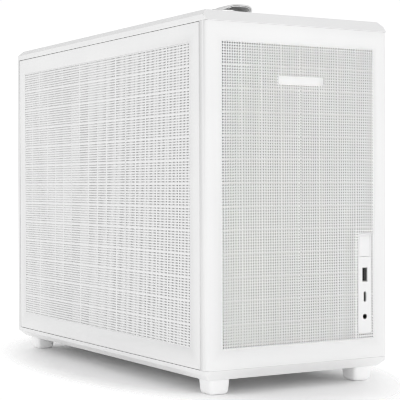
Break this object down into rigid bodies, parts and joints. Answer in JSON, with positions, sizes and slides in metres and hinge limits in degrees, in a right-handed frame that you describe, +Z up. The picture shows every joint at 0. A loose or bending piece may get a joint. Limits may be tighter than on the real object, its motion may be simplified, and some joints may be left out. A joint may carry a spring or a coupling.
{
  "type": "desktop computer tower",
  "caption": "Upright desktop computer tower with perforated white steel panels that pull off, a front connector strip with a sprung start button, and a complete interior.",
  "frame": {"origin": "middle of the footprint, on the surface the tower stands on", "axes": "+Z up, the front with its connector strip faces -Y, +X is the right-hand side seen from the front"},
  "size_m": [0.205, 0.439, 0.3596],
  "materials": {
    "shell_paint": "satin white powder coat on perforated steel sheet",
    "chassis_paint": "satin white powder coat",
    "white_plastic": "fine matt white moulding",
    "plate_gloss": "blank white badge",
    "pad_rubber": "soft grey rubber",
    "tab_fabric": "woven white webbing",
    "board_laminate": "white solder mask over glass laminate",
    "port_steel": "plated steel shells",
    "port_plastic": "black moulded insulators",
    "fin_aluminium": "stamped and extruded fins",
    "cooler_nickel": "nickel-plated copper",
    "fan_plastic": "light grey white moulding",
    "shroud_plastic": "white moulding",
    "supply_paint": "white textured paint",
    "cable_sleeve": "light grey PVC and braid",
    "screw_steel": "zinc-plated steel",
    "drive_aluminium": "blasted aluminium"
  },
  "bodies": {
    "chassis": {"base_skirt": "shell_paint", "chassis_floor": "chassis_paint", "rear_wall": "chassis_paint", "front_frame": "chassis_paint", "roof_frame": "chassis_paint", "mainboard_tray": "chassis_paint", "slot_covers": "chassis_paint", "supply_bracket": "chassis_paint", "drive_bracket": "chassis_paint", "feet": "white_plastic", "connector_bezel": "white_plastic", "connector_carrier": "white_plastic", "panel_clips": "white_plastic", "foot_pads": "pad_rubber", "connector_board": "board_laminate", "mainboard": "board_laminate", "graphics_board": "board_laminate", "supply_circuit": "board_laminate", "memory_modules": "board_laminate", "usb_a_port": "port_steel", "usb_c_port": "port_steel", "rear_ports": "port_steel", "rear_io_plate": "port_steel", "graphics_bracket": "port_steel", "processor": "port_steel", "audio_jack": "port_plastic", "board_sockets": "port_plastic", "supply_inlet": "port_plastic", "rear_inlet": "port_plastic", "cable_plugs": "port_plastic", "cooler_fins": "fin_aluminium", "board_heatsinks": "fin_aluminium", "graphics_heatsink": "fin_aluminium", "cooler_base": "cooler_nickel", "rear_fan_frame": "fan_plastic", "cooler_fan_frame": "fan_plastic", "supply_fan_frame": "fan_plastic", "graphics_shroud": "shroud_plastic", "supply_case": "supply_paint", "supply_lead": "cable_sleeve", "board_power_cable": "cable_sleeve", "front_cable": "cable_sleeve", "screws": "screw_steel", "storage_drive": "drive_aluminium"},
    "left_side": {"left_panel": "shell_paint"},
    "right_side": {"right_panel": "shell_paint"},
    "front_cover": {"front_panel": "shell_paint", "front_panel_port_side": "shell_paint", "name_plate": "plate_gloss"},
    "top_lid": {"top_cover": "shell_paint", "pull_tab": "tab_fabric"},
    "start_button": {"power_button": "white_plastic"},
    "rear_rotor": {"rear_fan_rotor": "fan_plastic"},
    "cooler_rotor": {"cooler_fan_rotor": "fan_plastic"},
    "supply_rotor": {"supply_fan_rotor": "fan_plastic"},
    "graphics_rotor_a": {"graphics_fan_a": "fan_plastic"},
    "graphics_rotor_b": {"graphics_fan_b": "fan_plastic"},
    "rocker": {"supply_rocker": "port_plastic"},
    "latch_a": {"memory_latch_a": "white_plastic"},
    "latch_b": {"memory_latch_b": "white_plastic"}
  },
  "joints": [
    {"name": "left_panel_release", "type": "slide", "parent": "chassis", "child": "left_side", "axis": [-1, 0, 0], "range_m": [0, 0.12]},
    {"name": "right_panel_release", "type": "slide", "parent": "chassis", "child": "right_side", "axis": [1, 0, 0], "range_m": [0, 0.12]},
    {"name": "front_panel_release", "type": "slide", "parent": "chassis", "child": "front_cover", "axis": [0, -1, 0], "range_m": [0, 0.1]},
    {"name": "top_cover_lift", "type": "slide", "parent": "chassis", "child": "top_lid", "axis": [0, 0, 1], "range_m": [0, 0.09]},
    {"name": "power_button_press", "type": "slide", "parent": "chassis", "child": "start_button", "axis": [0, 1, 0], "range_m": [0, 0.0015], "stiffness_N_per_m": 600, "springref_m": -0.0015},
    {"name": "rear_fan_spin", "type": "hinge", "parent": "chassis", "child": "rear_rotor", "pos_m": [-0.0285, 0.2035, 0.228], "axis": [0, 1, 0], "continuous": true},
    {"name": "cooler_fan_spin", "type": "hinge", "parent": "chassis", "child": "cooler_rotor", "pos_m": [-0.022, 0.073, 0.219], "axis": [0, 1, 0], "continuous": true},
    {"name": "supply_fan_spin", "type": "hinge", "parent": "chassis", "child": "supply_rotor", "pos_m": [-0.0065, -0.1925, 0.13], "axis": [0, 1, 0], "continuous": true},
    {"name": "graphics_fan_a_spin", "type": "hinge", "parent": "chassis", "child": "graphics_rotor_a", "pos_m": [0.008, 0.034, 0.094], "axis": [0, 0, 1], "continuous": true},
    {"name": "graphics_fan_b_spin", "type": "hinge", "parent": "chassis", "child": "graphics_rotor_b", "pos_m": [0.008, 0.136, 0.094], "axis": [0, 0, 1], "continuous": true},
    {"name": "supply_switch_rock", "type": "hinge", "parent": "chassis", "child": "rocker", "pos_m": [-0.004, -0.1435, 0.064], "axis": [1, 0, 0], "range_deg": [0, 18]},
    {"name": "memory_latch_a_swing", "type": "hinge", "parent": "chassis", "child": "latch_a", "pos_m": [0.0685, 0.032, 0.291], "axis": [0, 1, 0], "range_deg": [0, 30]},
    {"name": "memory_latch_b_swing", "type": "hinge", "parent": "chassis", "child": "latch_b", "pos_m": [0.0685, 0.05, 0.291], "axis": [0, 1, 0], "range_deg": [0, 30]}
  ]
}
